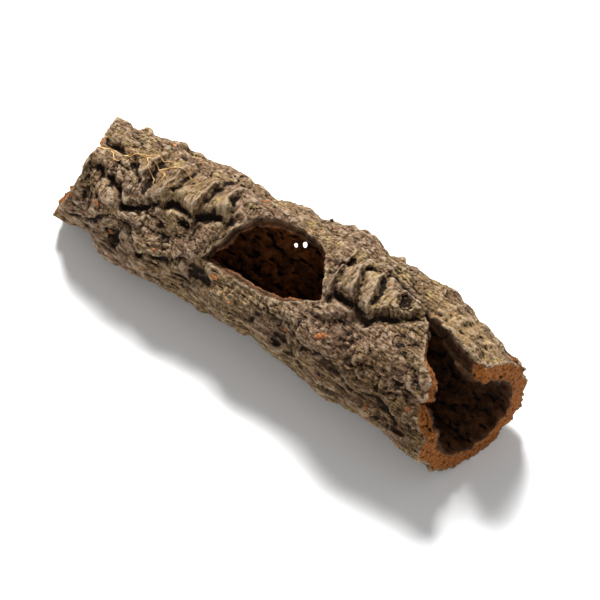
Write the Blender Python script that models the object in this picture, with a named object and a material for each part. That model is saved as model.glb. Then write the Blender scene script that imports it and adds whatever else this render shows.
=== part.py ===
"""A tube of cork bark: the bark of one branch, hollow from end to end, grown as a single piece.

It lies along X on the plane z = 0. Its mouth with the split is at +X, and its knot hole looks
up and to the front (-Y). Lengths are in millimetres. Angles are in degrees, counted round the
tube from straight up (+Z) towards the front.
"""

import itertools

import bmesh
import bpy
import numpy as np
from mathutils import Vector

MM = 0.001

# The branch that the bark grew on. Each row: x, the middle line's y and z, and the mean outer radius.
STATIONS = np.array(
    (
        (-158, -8.0, 36.5, 34.0),
        (-110, -2.0, 37.5, 36.5),
        (-60, 2.0, 38.5, 38.0),
        (-10, 5.0, 40.0, 40.0),
        (30, 5.5, 42.0, 42.0),
        (70, 4.0, 42.5, 42.5),
        (110, 2.0, 40.5, 40.0),
        (150, -3.5, 38.0, 37.5),
    )
)
MEAN_RADIUS = 40.0
WALL, MOUTH_WALL = 9.5, 12.5  # the bark's mean thickness, along the tube and at the mouth
MOUTH_START, MOUTH_END = 80, 140  # the wall grows thicker between these
SIDE_SWELL, SIDE_SWELL_ANGLE = 1.6, 70  # the section is a little wider towards this angle
# Each cut end: where it meets the middle line, its slope, and the angle that the slope leans towards.
LEFT_CUT, LEFT_SLANT, LEFT_LEAN = -144.0, 0.47, 32
RIGHT_CUT, RIGHT_SLANT, RIGHT_LEAN = 142.0, -0.17, 85
LEFT_CORNERS, CORNER_ANGLE = 2.5, -50  # the left end is drawn out into two corners, one at this angle
ORIGIN = np.array((-5.8, 3.9, 0.0))  # the middle of the tube's length and width

# Edges of the openings, as (x, angle) round each.
KNOT_HOLE = (
    (-31, 56), (-28, 46), (-25, 38), (-24, 27), (-21, 13), (-16, -1), (-7, -10), (8, -12), (20, -8),
    (31, -1), (38, 11), (44, 23), (49, 33), (40, 42), (28, 52), (14, 57), (-2, 59), (-16, 59),
)
SPLIT = (
    (94, -16), (104, -2), (109, 11), (113, 21), (121, 26), (126, 31), (125, 38), (129, 44), (124, 52),
    (125, 60), (132, 72), (150, 84), (175, 84), (175, -24), (147, -15), (139, -6), (128, -6), (112, -11),
)
WORM_HOLES = ((-11.5, -109.7, 4.6), (-17.0, -114.5, 3.0))  # x, angle and width, through the back
WORM_SLANT = (0.437, -0.503, 0.746)  # the way that they run, from outside to inside
HOLE_TAPER = 0.92  # the knot hole's width inside, as a share of its width outside

# Furrows that run through the bark: width, depth, how far the bark above stands proud of the bark
# below, and the (x, angle) points of each.
FURROWS = (
    (9, 6.5, 3.5, (
        (-116, 30), (-98, 38), (-88, 51), (-79, 43), (-70, 34), (-60, 27), (-48, 29), (-34, 22),
        (-18, 9),
    )),
    (6, 4.0, 1.5, (
        (-128, 96), (-108, 82), (-96, 67), (-82, 66), (-70, 84), (-58, 79), (-44, 70), (-22, 57),
    )),
    (8, 6.0, 3.0, ((44, 36), (54, 24), (63, 25), (76, 28), (85, 17), (94, 4), (101, -8))),
    (6, 4.5, 0.0, ((42, 13), (46, 0), (56, -6), (72, -16), (90, -14))),
    (5, 4.0, 0.0, ((97, 26), (104, 30), (112, 33), (120, 40))),
    (6, 4.0, 2.0, ((-124, 4), (-106, 8), (-96, 18), (-88, 26))),
    (8, 4.0, 1.5, ((24, 66), (48, 72), (66, 70), (84, 80), (104, 76), (122, 84))),
    (7, 4.0, 0.0, (
        (-140, -52), (-110, -44), (-80, -54), (-40, -46), (0, -58), (40, -48), (84, -60),
        (120, -50), (150, -58),
    )),
    (9, 5.0, 2.0, (
        (-160, -104), (-118, -96), (-82, -110), (-46, -98), (-24, -112), (20, -96), (64, -110),
        (100, -98), (126, -104),
    )),
    (8, 4.5, 0.0, (
        (-160, -146), (-110, -152), (-70, -138), (-20, -150), (30, -140), (80, -154), (150, -142),
    )),
    (7, 3.5, 0.0, ((-150, 146), (-100, 138), (-56, 148), (-10, 136), (40, 146), (92, 134), (150, 144))),
)
LEDGE_REACH = 20.0  # how far up a proud edge above a furrow dies away

# Hollows and swellings: x, angle, half length along X, half width round the tube, and height.
PATCHES = (
    (-51, 39, 5, 4, -7.0),  # a pit under the ribbed bank
    (-92, 86, 8, 6, -5.5),
    (-27, 73, 14, 8, -4.5),  # the scar of a small twig
    (88, -3, 7, 6, -6.0),
    (70, 74, 7, 6, -4.0),
    (32, 86, 9, 6, -3.5),
    (12, 97, 8, 6, -3.0),
    (-98, 47, 12, 8, 5.5),  # a block that stands out near the left end
    (-122, 24, 11, 12, 4.0),
    (-122, -50, 9, 8, 4.0),
    (-97, -46, 12, 9, 3.0),
    (-22, -54, 26, 13, -3.0),
    (34, -50, 18, 11, 4.5),
    (96, -58, 20, 12, 3.0),
    (60, 6, 15, 13, 3.0),  # the swelling beside the knot hole
    (-54, 2, 38, 15, 1.5),  # the ribbed bank
    (76, 52, 26, 17, 1.5),
    (120, -30, 30, 16, 1.5),
    (-75, -125, 22, 14, 3.0),
    (20, -128, 26, 16, 3.0),
    (96, -124, 18, 12, 3.0),
    (-92, 118, 26, 12, 2.5),
    (-30, 160, 26, 12, 2.0),
    (60, 158, 24, 12, 2.0),
    (142, -138, 32, 26, 8.0),  # the mouth swells at the back
    (-82, 114, 46, 24, 4.0),  # the belly of the left half
    (-20, 108, 40, 20, 2.5),
    (-46, -66, 30, 18, -3.5),
    (-92, 180, 17, 13, 2.4),  # the three swellings that it rests on
    (6, 180, 19, 13, 2.0),
    (98, 180, 17, 13, 2.2),
)

# Ribs across the bark: x, angle, half length, half width, height, lean and the x of each crest.
RIBS = (
    (-58, 12, 58, 25, 7.0, -0.15, (-122, -104, -87, -71, -48, -31, -16, 0)),
    (-118, 40, 24, 24, 3.0, -0.3, (-152, -137, -121, -107, -92, -78)),
    (60, 6, 26, 20, 5.5, -0.3, (28, 39, 49, 61, 71, 82, 94)),
    (118, -30, 34, 18, 1.6, 0.0, range(70, 170, 9)),
    (-70, -80, 50, 16, 3.0, 0.4, range(-140, 0, 14)),
    (50, -78, 50, 15, 3.0, -0.3, range(-20, 130, 12)),
    (-60, 112, 50, 14, 1.4, 0.3, range(-130, 10, 13)),
)

BLOCK_LENGTH, BLOCK_WIDTH, BLOCK_HEIGHT = 22.0, 14.0, 4.6  # the blocks that the bark is broken into
BLOCK_MEAN = 0.35  # the blocks' mean level, as a share of their height
BLOCK_TILT, BLOCK_STEEPNESS, BLOCK_FLAT = 1.2, 2.6, 0.62  # their slopes, steep sides and flat tops
ROUGHNESS_SIZE, ROUGHNESS_LENGTH, ROUGHNESS = 24.0, 40.0, 1.8  # broad bumps: width, length and height
WAVER_SIZE = 12.0  # the furrows' edges and the ribs' crests wander over this distance
WARP_SIZE, WARP_BLOCKS, WARP_X, WARP_ANGLE = 13.0, 0.15, 2.0, 2.5  # how lines on the bark are bent
RIB_CREST = 0.84  # where a rib is highest, as a share of the way to the next
RIB_WAVER = 0.9
RIB_CALM = 0.85  # how much plainer the bark is between ribs
DEEPEST = 6.0  # no furrow goes deeper than this into the wall
RIM_REACH, RIM_DROP = 11.0, 3.2  # the bark rolls in towards the knot hole over this distance
INNER_LENGTH, INNER_WIDTH, INNER_HEIGHT = 34.0, 9.0, 1.3  # the hollow's ridges
CUT_GRAIN, CUT_ROUGHNESS = 8.0, 0.8  # the cut ends are not quite flat
SEED = 11

ROWS_OUTSIDE, ROWS_INSIDE, ROWS_CUT, COLUMNS = 132, 50, 2, 112
KEEP_FACES = 0.27  # the share of the fine grid's triangles that the finished part keeps
CUTTER_INSIDE, CUTTER_OUTSIDE = 12.0, 70.0  # radii between which the openings' cutters reach
DRILL_DEPTH, DRILL_SIDES = 30.0, 8
FLOOR_BOX = (400, 160, 40)
SHARP_ANGLE = 50.0


def random_at(ix, iy, iz, seed):
    """A repeatable random number from -1 to 1 for each point of a whole-number lattice."""
    mixed = (ix * 73856093) ^ (iy * 19349663) ^ (iz * 83492791) ^ (seed * 971541713)
    mixed = (mixed ^ (mixed >> 13)) * 1274126177
    return ((mixed ^ (mixed >> 16)) & 0xFFFFFF) / 0x7FFFFF - 1


def soft_noise(points, seed):
    """Smooth noise from -1 to 1 with bumps about one unit across."""
    cell = np.floor(points).astype(np.int64)
    part = points - cell
    part = part * part * (3 - 2 * part)
    total = np.zeros(len(points))
    for corner in itertools.product((0, 1), repeat=3):
        weight = np.prod(np.where(corner, part, 1 - part), axis=1)
        total += weight * random_at(*(cell + corner).T, seed)
    return total


def rough_noise(points, seed, octaves):
    """Soft noise with finer and fainter layers of itself added."""
    return sum(soft_noise(points * 2.03**k, seed + k) * 0.5**k for k in range(octaves))


def shards(points, seed):
    """The height, about -1 to 1, of tilted flat blocks that overlap, each about one unit across."""
    cell = np.floor(points).astype(np.int64)
    top = np.full(len(points), -9.0)
    for offset in itertools.product((-1, 0, 1), repeat=3):
        near = cell + offset
        draws = [random_at(*near.T, seed + k) for k in range(7)]
        away = points - near - 0.5 - 0.45 * np.stack(draws[:3], 1)
        height = 0.5 * draws[6] + BLOCK_TILT * (away * np.stack(draws[3:6], 1)).sum(1)
        height -= BLOCK_STEEPNESS * np.maximum(np.linalg.norm(away, axis=1) - BLOCK_FLAT, 0)
        top = np.maximum(top, height)
    return top


def rise(value, low, high):
    """0 below low, 1 above high, and a smooth rise between them."""
    share = np.clip((value - low) / (high - low), 0, 1)
    return share * share * (3 - 2 * share)


def turn_between(angle, other):
    """The turn from other to angle, from -180 to 180 degrees."""
    return (angle - other + 180) % 360 - 180


def station(x, column):
    """A station value at x, read from a smooth curve through the stations."""
    xs, values = STATIONS[:, 0], STATIONS[:, column]
    slopes = np.gradient(values, xs)
    k = np.clip(np.searchsorted(xs, x) - 1, 0, len(xs) - 2)
    step = xs[k + 1] - xs[k]
    t = (x - xs[k]) / step
    start = (2 * t**3 - 3 * t**2 + 1) * values[k] + (t**3 - 2 * t**2 + t) * step * slopes[k]
    end = (3 * t**2 - 2 * t**3) * values[k + 1] + (t**3 - t**2) * step * slopes[k + 1]
    return start + end


def mean_radius(x, angle):
    return station(x, 3) + SIDE_SWELL * np.cos(2 * np.radians(angle - SIDE_SWELL_ANGLE)) / 2


def wall(x):
    return WALL + (MOUTH_WALL - WALL) * rise(x, MOUTH_START, MOUTH_END)


def place(x, angle, radius):
    """The point at x, this far from the middle line and at this angle round it."""
    turn = np.radians(angle)
    y = station(x, 1) - radius * np.sin(turn)
    return np.stack([x, y, station(x, 2) + radius * np.cos(turn)], axis=-1)


def bark_points(x, angle):
    """Places on a plain cylinder, where the noise is read so that it closes round the tube."""
    turn = np.radians(angle)
    return np.stack([x, MEAN_RADIUS * np.sin(turn), MEAN_RADIUS * np.cos(turn)], axis=1)


def follow_line(x, angle, line):
    """Each point's distance from a line on the bark, its side (1 is above) and its share of the way."""
    nearest = np.full(len(x), 1e9)
    side, along_line = np.zeros(len(x)), np.zeros(len(x))
    for number, ((x0, a0), (x1, a1)) in enumerate(zip(line, line[1:])):
        run_x = x1 - x0
        run_a = np.radians(turn_between(a1, a0)) * MEAN_RADIUS
        dx = x - x0
        da = np.radians(turn_between(angle, a0)) * MEAN_RADIUS
        t = np.clip((dx * run_x + da * run_a) / (run_x**2 + run_a**2), 0, 1)
        distance = np.hypot(dx - t * run_x, da - t * run_a)
        closer = distance < nearest
        nearest = np.where(closer, distance, nearest)
        side = np.where(closer, np.sign(run_a * dx - run_x * da), side)
        along_line = np.where(closer, (number + t) / (len(line) - 1), along_line)
    return nearest, side, along_line


def patch(x, angle, at_x, at_angle, half_length, half_width):
    """1 in the middle of an oval patch of bark, and 0 outside it."""
    around = np.radians(turn_between(angle, at_angle)) * MEAN_RADIUS
    return 1 - rise(np.hypot((x - at_x) / half_length, around / half_width), 0.4, 1.0)


def outer_relief(x, angle):
    """How far the bark stands above its mean radius, or lies below it."""
    points = bark_points(x, angle)
    waver = rough_noise(points / WAVER_SIZE, SEED, 3)
    warp = np.stack([rough_noise(points / WARP_SIZE, SEED + 20 + k, 3) for k in range(3)], axis=1)
    scaled = points / (BLOCK_LENGTH, BLOCK_WIDTH, BLOCK_WIDTH)
    plain = BLOCK_HEIGHT * (shards(scaled + WARP_BLOCKS * warp, SEED + 30) - BLOCK_MEAN)
    stretched = points / (ROUGHNESS_LENGTH, ROUGHNESS_SIZE, ROUGHNESS_SIZE)
    plain += ROUGHNESS * soft_noise(stretched, SEED + 40)
    x, angle = x + WARP_X * warp[:, 0], angle + WARP_ANGLE * warp[:, 1]
    ribbed, height = np.zeros(len(x)), np.zeros(len(x))
    for at_x, at_angle, half_length, half_width, size, lean, crests in RIBS:
        here = patch(x, angle, at_x, at_angle, half_length, half_width)
        around = np.radians(turn_between(angle, at_angle)) * MEAN_RADIUS
        leaned = x + lean * around + RIB_WAVER * waver
        phase = np.interp(leaned, crests, np.arange(len(crests)) + RIB_CREST)
        step = phase - np.floor(phase)
        bulge = np.minimum(step / RIB_CREST, (1 - step) / (1 - RIB_CREST))
        height += size * (bulge - 0.5) * here
        ribbed = np.maximum(ribbed, here)
    height += plain * (1 - RIB_CALM * ribbed)
    for at_x, at_angle, half_length, half_width, size in PATCHES:
        height += size * patch(x, angle, at_x, at_angle, half_length, half_width)
    for width, depth, ledge, line in FURROWS:
        distance, side, share = follow_line(x, angle, line)
        inner_share = rise(share, 0, 0.15) * (1 - rise(share, 0.85, 1))
        height += ledge * inner_share * rise(distance * side, 0, 3) * (1 - rise(distance, 3, LEDGE_REACH))
        uneven = depth * np.clip(0.7 + 0.5 * waver, 0.15, 1.2)
        height -= uneven * (1 - rise(distance + 1.2 * waver, 0, 0.6 * width))
    rim = 1 - rise(follow_line(x, angle, KNOT_HOLE + KNOT_HOLE[:1])[0], 0, RIM_REACH)
    height = height * (1 - 0.7 * rim) - RIM_DROP * rim**2
    return np.where(height < 0, DEEPEST * np.tanh(height / DEEPEST), height)


def inner_relief(x, angle):
    """The hollow's own ridges, which run along the grain."""
    grain = bark_points(x, angle) / (INNER_LENGTH, INNER_WIDTH, INNER_WIDTH)
    return INNER_HEIGHT * rough_noise(grain, SEED + 60, 2)


def surface(run, side, angle):
    """The tube's surface: run is 0 at the left cut and 1 at the right, side is 0 outside and 1 inside."""
    radius = MEAN_RADIUS - side * WALL
    left = LEFT_CUT + LEFT_SLANT * radius * np.cos(np.radians(angle - LEFT_LEAN))
    left = left - LEFT_CORNERS * np.cos(np.radians(2 * (angle - CORNER_ANGLE)))
    right = RIGHT_CUT + RIGHT_SLANT * radius * np.cos(np.radians(angle - RIGHT_LEAN))
    x = left + run * (right - left)
    at_a_cut = np.abs(2 * run - 1) > 0.99
    x = x + at_a_cut * CUT_ROUGHNESS * soft_noise(bark_points(x, angle) / CUT_GRAIN, SEED + 70)
    outside = mean_radius(x, angle) + outer_relief(x, angle)
    inside = mean_radius(x, angle) - wall(x) + inner_relief(x, angle)
    return place(x, angle, outside + side * (inside - outside))


def new_object(name, points, faces):
    """A mesh object from points in millimetres, with its faces turned outward."""
    mesh = bpy.data.meshes.new(name)
    mesh.from_pydata(((np.asarray(points) - ORIGIN) * MM).tolist(), [], faces)
    skin = bmesh.new()
    skin.from_mesh(mesh)
    bmesh.ops.recalc_face_normals(skin, faces=skin.faces)
    skin.to_mesh(mesh)
    skin.free()
    made = bpy.data.objects.new(name, mesh)
    bpy.context.scene.collection.objects.link(made)
    return made


def as_cutter(tool):
    tool.hide_render = True
    tool.display_type = "WIRE"
    return tool


def make_tube():
    """One closed skin: out along the bark, over the right cut, back inside and over the left cut."""
    across = np.arange(1, ROWS_CUT + 1) / (ROWS_CUT + 1)
    outward, inward = np.linspace(0, 1, ROWS_OUTSIDE), np.linspace(1, 0, ROWS_INSIDE)
    run = np.concatenate([outward, np.ones(ROWS_CUT), inward, np.zeros(ROWS_CUT)])
    side = np.concatenate([0 * outward, across, 0 * inward + 1, across[::-1]])
    angles = np.arange(COLUMNS) * 360 / COLUMNS
    rows = len(run)
    points = surface(np.repeat(run, COLUMNS), np.repeat(side, COLUMNS), np.tile(angles, rows))
    faces = []
    for row, column in itertools.product(range(rows), range(COLUMNS)):
        here, ahead = row * COLUMNS, (row + 1) % rows * COLUMNS
        beside = (column + 1) % COLUMNS
        faces.append((here + column, ahead + column, ahead + beside, here + beside))
    return new_object("cork_bark_tube", points, faces)


def make_radial_cutter(name, outline, taper=1.0):
    """A block that cuts straight through the wall, its sides following an outline on the bark."""
    xs, angles = np.array(outline, float).T
    middle_x, middle_angle = xs.mean(), angles.mean()
    count = len(outline)
    points = []
    for radius, share in ((CUTTER_INSIDE, taper), (CUTTER_OUTSIDE, 2 - taper)):
        ring_x = middle_x + (xs - middle_x) * share
        ring_angle = middle_angle + (angles - middle_angle) * share
        points += place(ring_x, ring_angle, radius).tolist()
        points.append(place(middle_x, middle_angle, radius).tolist())
    faces = []
    for k in range(count):
        after, above = (k + 1) % count, count + 1
        faces.append((k, after, above + after, above + k))
        faces.append((after, k, count))
        faces.append((above + k, above + after, above + count))
    return as_cutter(new_object(name, points, faces))


def make_worm_hole(name, x, angle, width):
    """A round drill that slants through the back of the wall."""
    bpy.ops.mesh.primitive_cylinder_add(vertices=DRILL_SIDES, radius=width / 2 * MM, depth=DRILL_DEPTH * MM)
    drill = bpy.context.object
    drill.name = name
    drill.location = (place(x, angle, mean_radius(x, angle) - WALL / 2) - ORIGIN) * MM
    drill.rotation_euler = Vector(WORM_SLANT).to_track_quat("Z", "Y").to_euler()
    return as_cutter(drill)


def make_floor():
    """A block whose top is the resting plane, which flattens the lowest bumps."""
    bpy.ops.mesh.primitive_cube_add(size=1, location=(0, 0, -FLOOR_BOX[2] / 2 * MM))
    floor = bpy.context.object
    floor.name = "resting_plane"
    floor.scale = np.array(FLOOR_BOX) * MM
    bpy.ops.object.transform_apply(location=False, rotation=False, scale=True)
    return as_cutter(floor)


def cut(tube, tool):
    boolean = tube.modifiers.new(tool.name, "BOOLEAN")
    boolean.operation = "DIFFERENCE"
    boolean.solver = "EXACT"
    boolean.object = tool


def thin_out(tube):
    """Leaves fewer, larger faces where the surface is plain."""
    decimate = tube.modifiers.new("fewer faces", "DECIMATE")
    decimate.ratio = KEEP_FACES
    decimate.use_collapse_triangulate = True


def paint_cork(tube):
    cork = bpy.data.materials.new("weathered cork bark")
    cork.use_nodes = True
    shader = cork.node_tree.nodes["Principled BSDF"]
    shader.inputs["Base Color"].default_value = (0.22, 0.145, 0.08, 1)
    shader.inputs["Roughness"].default_value = 0.9
    shader.inputs["Metallic"].default_value = 0.0
    tube.data.materials.append(cork)


def clear_scene():
    for old in list(bpy.data.objects):
        bpy.data.objects.remove(old)


def main():
    clear_scene()
    tube = make_tube()
    thin_out(tube)
    cut(tube, make_radial_cutter("knot_hole_cutter", KNOT_HOLE, HOLE_TAPER))
    cut(tube, make_radial_cutter("split_cutter", SPLIT))
    for number, (x, angle, width) in enumerate(WORM_HOLES, start=1):
        cut(tube, make_worm_hole(f"worm_drill_{number}", x, angle, width))
    cut(tube, make_floor())
    paint_cork(tube)
    tube.data.shade_smooth()
    tube.data.set_sharp_from_angle(angle=np.radians(SHARP_ANGLE))


main()
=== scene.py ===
"""The looks of the cork bark tube: its bark in full detail, rootlets, chips, floor, light and camera.

Lengths are in millimetres until a mesh is made. A place on the bark is given as x along the tube
and an angle in degrees round it, from straight up towards the front.
"""

import itertools

import bpy
import numpy as np
from mathutils import Matrix, Vector


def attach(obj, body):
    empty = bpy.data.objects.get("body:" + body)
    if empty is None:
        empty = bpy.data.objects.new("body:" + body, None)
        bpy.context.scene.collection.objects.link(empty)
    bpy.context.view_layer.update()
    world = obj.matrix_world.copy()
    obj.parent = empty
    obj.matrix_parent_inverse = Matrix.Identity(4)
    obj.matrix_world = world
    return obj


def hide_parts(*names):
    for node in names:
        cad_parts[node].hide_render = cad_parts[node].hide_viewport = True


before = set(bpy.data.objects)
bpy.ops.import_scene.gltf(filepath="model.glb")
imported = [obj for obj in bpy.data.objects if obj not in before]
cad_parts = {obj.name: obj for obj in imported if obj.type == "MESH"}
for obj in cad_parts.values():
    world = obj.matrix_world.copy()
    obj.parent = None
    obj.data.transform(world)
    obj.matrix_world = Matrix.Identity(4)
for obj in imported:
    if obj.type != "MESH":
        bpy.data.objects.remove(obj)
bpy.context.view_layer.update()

MM = 0.001
NODE = "cork_bark_tube"

# The branch that the bark grew on. Each row: x, the middle line's y and z, and the mean outer radius.
STATIONS = np.array(
    (
        (-158, -8.0, 36.5, 34.0),
        (-110, -2.0, 37.5, 36.5),
        (-60, 2.0, 38.5, 38.0),
        (-10, 5.0, 40.0, 40.0),
        (30, 5.5, 42.0, 42.0),
        (70, 4.0, 42.5, 42.5),
        (110, 2.0, 40.5, 40.0),
        (150, -3.5, 38.0, 37.5),
    )
)
MEAN_RADIUS = 40.0
WALL, MOUTH_WALL = 9.5, 12.5  # the bark's mean thickness, along the tube and at the mouth
MOUTH_START, MOUTH_END = 80, 140  # the wall grows thicker between these
SIDE_SWELL, SIDE_SWELL_ANGLE = 1.6, 70  # the section is a little wider towards this angle
# Each cut end: where it meets the middle line, its slope, and the angle that the slope leans towards.
LEFT_CUT, LEFT_SLANT, LEFT_LEAN = -144.0, 0.47, 32
RIGHT_CUT, RIGHT_SLANT, RIGHT_LEAN = 142.0, -0.17, 85
LEFT_CORNERS, CORNER_ANGLE = 2.5, -50  # the left end is drawn out into two corners, one at this angle
ORIGIN = np.array((-5.8, 3.9, 0.0))  # the middle of the tube's length and width

# Edges of the openings, as (x, angle) round each.
KNOT_HOLE = (
    (-31, 56), (-28, 46), (-25, 38), (-24, 27), (-21, 13), (-16, -1), (-7, -10), (8, -12), (20, -8),
    (31, -1), (38, 11), (44, 23), (49, 33), (40, 42), (28, 52), (14, 57), (-2, 59), (-16, 59),
)
SPLIT = (
    (94, -16), (104, -2), (109, 11), (113, 21), (121, 26), (126, 31), (125, 38), (129, 44), (124, 52),
    (125, 60), (132, 72), (150, 84), (175, 84), (175, -24), (147, -15), (139, -6), (128, -6), (112, -11),
)
WORM_HOLES = ((-11.5, -109.7, 4.0), (-17.0, -114.5, 3.3))  # x, angle and width, through the back
WORM_SLANT = (0.437, -0.503, 0.746)  # the way that they run, from outside to inside
HOLE_TAPER = 0.92  # the knot hole's width inside, as a share of its width outside

# Furrows that run through the bark: width, depth, how far the bark above stands proud of the bark
# below, and the (x, angle) points of each.
FURROWS = (
    (9, 6.5, 3.5, (
        (-116, 30), (-98, 38), (-88, 51), (-79, 43), (-70, 34), (-60, 27), (-48, 29), (-34, 22),
        (-18, 9),
    )),
    (6, 4.0, 1.5, (
        (-128, 96), (-108, 82), (-96, 67), (-82, 66), (-70, 84), (-58, 79), (-44, 70), (-22, 57),
    )),
    (8, 6.0, 3.0, ((44, 36), (54, 24), (63, 25), (76, 28), (85, 17), (94, 4), (101, -8))),
    (6, 4.5, 0.0, ((42, 13), (46, 0), (56, -6), (72, -16), (90, -14))),
    (5, 4.0, 0.0, ((97, 26), (104, 30), (112, 33), (120, 40))),
    (6, 4.0, 2.0, ((-124, 4), (-106, 8), (-96, 18), (-88, 26))),
    (8, 4.0, 1.5, ((24, 66), (48, 72), (66, 70), (84, 80), (104, 76), (122, 84))),
    (7, 4.0, 0.0, (
        (-140, -52), (-110, -44), (-80, -54), (-40, -46), (0, -58), (40, -48), (84, -60),
        (120, -50), (150, -58),
    )),
    (9, 5.0, 2.0, (
        (-160, -104), (-118, -96), (-82, -110), (-46, -98), (-24, -112), (20, -96), (64, -110),
        (100, -98), (126, -104),
    )),
    (8, 4.5, 0.0, (
        (-160, -146), (-110, -152), (-70, -138), (-20, -150), (30, -140), (80, -154), (150, -142),
    )),
    (7, 3.5, 0.0, ((-150, 146), (-100, 138), (-56, 148), (-10, 136), (40, 146), (92, 134), (150, 144))),
)
LEDGE_REACH = 20.0  # how far up a proud edge above a furrow dies away

# Hollows and swellings: x, angle, half length along X, half width round the tube, and height.
PATCHES = (
    (-51, 39, 5, 4, -7.0),  # a pit under the ribbed bank
    (-92, 86, 8, 6, -5.5),
    (-27, 73, 14, 8, -4.5),  # the scar of a small twig
    (88, -3, 7, 6, -6.0),
    (70, 74, 7, 6, -4.0),
    (32, 86, 9, 6, -3.5),
    (12, 97, 8, 6, -3.0),
    (-98, 47, 12, 8, 5.5),  # a block that stands out near the left end
    (-122, 24, 11, 12, 4.0),
    (-122, -50, 9, 8, 4.0),
    (-97, -46, 12, 9, 3.0),
    (-22, -54, 26, 13, -3.0),
    (34, -50, 18, 11, 4.5),
    (96, -58, 20, 12, 3.0),
    (60, 6, 15, 13, 3.0),  # the swelling beside the knot hole
    (-54, 2, 38, 15, 1.5),  # the ribbed bank
    (76, 52, 26, 17, 1.5),
    (120, -30, 30, 16, 1.5),
    (-75, -125, 22, 14, 3.0),
    (20, -128, 26, 16, 3.0),
    (96, -124, 18, 12, 3.0),
    (-92, 118, 26, 12, 2.5),
    (-30, 160, 26, 12, 2.0),
    (60, 158, 24, 12, 2.0),
    (142, -138, 32, 26, 8.0),  # the mouth swells at the back
    (-82, 114, 46, 24, 4.0),  # the belly of the left half
    (-20, 108, 40, 20, 2.5),
    (-46, -66, 30, 18, -3.5),
    (-92, 180, 17, 13, 2.4),  # the three swellings that it rests on
    (6, 180, 19, 13, 2.0),
    (98, 180, 17, 13, 2.2),
)

# Ribs across the bark: x, angle, half length, half width, height, lean and the x of each crest.
RIBS = (
    (-58, 12, 58, 25, 7.0, -0.15, (-122, -104, -87, -71, -48, -31, -16, 0)),
    (-118, 40, 24, 24, 3.0, -0.3, (-152, -137, -121, -107, -92, -78)),
    (60, 6, 26, 20, 5.5, -0.3, (28, 39, 49, 61, 71, 82, 94)),
    (118, -30, 34, 18, 1.6, 0.0, range(70, 170, 9)),
    (-70, -80, 50, 16, 3.0, 0.4, range(-140, 0, 14)),
    (50, -78, 50, 15, 3.0, -0.3, range(-20, 130, 12)),
    (-60, 112, 50, 14, 1.4, 0.3, range(-130, 10, 13)),
)

BLOCK_LENGTH, BLOCK_WIDTH, BLOCK_HEIGHT = 22.0, 14.0, 4.6  # the blocks that the bark is broken into
BLOCK_MEAN = 0.35  # the blocks' mean level, as a share of their height
BLOCK_TILT, BLOCK_STEEPNESS, BLOCK_FLAT = 1.2, 2.6, 0.62  # their slopes, steep sides and flat tops
ROUGHNESS_SIZE, ROUGHNESS_LENGTH, ROUGHNESS = 24.0, 40.0, 1.8  # broad bumps: width, length and height
WAVER_SIZE = 12.0  # the furrows' edges and the ribs' crests wander over this distance
WARP_SIZE, WARP_BLOCKS, WARP_X, WARP_ANGLE = 13.0, 0.15, 2.0, 2.5  # how lines on the bark are bent
RIB_CREST = 0.84  # where a rib is highest, as a share of the way to the next
RIB_WAVER = 0.9  # how far the crests wander
RIB_CALM = 0.85  # how much plainer the bark is between ribs
DEEPEST = 6.0  # no furrow goes deeper than this into the wall
RIM_REACH, RIM_DROP = 11.0, 3.2  # the bark rolls in towards the knot hole over this distance
INNER_LENGTH, INNER_WIDTH, INNER_HEIGHT = 34.0, 9.0, 1.3  # the hollow's ridges
SEED = 11

# Where the bark is smoother between its furrows: x, angle, half length, half width and how much.
CALM_PATCHES = (
    (-56, 12, 56, 22, 0.95),
    (-98, 46, 22, 14, 0.8),
    (-122, 10, 24, 22, 0.7),
    (-80, 84, 54, 16, 0.55),
    (62, 6, 28, 18, 0.9),
    (122, -28, 44, 20, 0.85),
    (14, 100, 70, 26, 0.8),
    (100, 92, 50, 26, 0.8),
    (-27, 72, 20, 13, 1.0),
)

# Where the bark's fine lines run round the tube: x, angle, half length, half width and how much.
RINGED_PATCHES = (
    (-58, 12, 66, 26, 1.0),
    (-104, 44, 34, 22, 1.0),
    (62, 8, 34, 24, 1.0),
    (128, -26, 40, 20, 0.5),
    (-70, -80, 52, 18, 1.0),
    (50, -78, 52, 18, 1.0),
)

# Dry rootlets on the bark, each as the (x, angle) points that it runs through.
ROOTLETS = (
    ((-123, 15), (-118, 10), (-110, 10), (-104, 7), (-96, 3), (-88, 4), (-80, 7), (-74, 12)),
    ((-118, 11), (-113, 15), (-110, 19), (-106, 15), (-101, 12)),
    ((-97, 3), (-91, -2), (-86, -4), (-79, -6)),
    ((-93, 3), (-89, 9), (-87, 14), (-82, 17), (-80, 21)),
    ((-84, 5), (-79, 1), (-74, 0), (-69, -3), (-63, -1)),
    ((-80, 7), (-77, 13), (-78, 18)),
    ((-108, 9), (-103, 2), (-99, 0)),
    ((-120, 13), (-126, 18), (-129, 17)),
)
ROOTLET_RADIUS, ROOTLET_STEP = 0.32, 1.2  # half its thickness, and the spacing of its points
ROOTLET_LIFT = 0.9  # how high its middle lies over the bark, as a share of its radius
ROOTLET_START, ROOTLET_TAPER = 1.2, 0.7  # its thickness where it starts, and how much is lost
WANDER_SPAN, WANDER_X, WANDER_ANGLE = 4.0, 1.0, 1.4  # how it strays from its points

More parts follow.
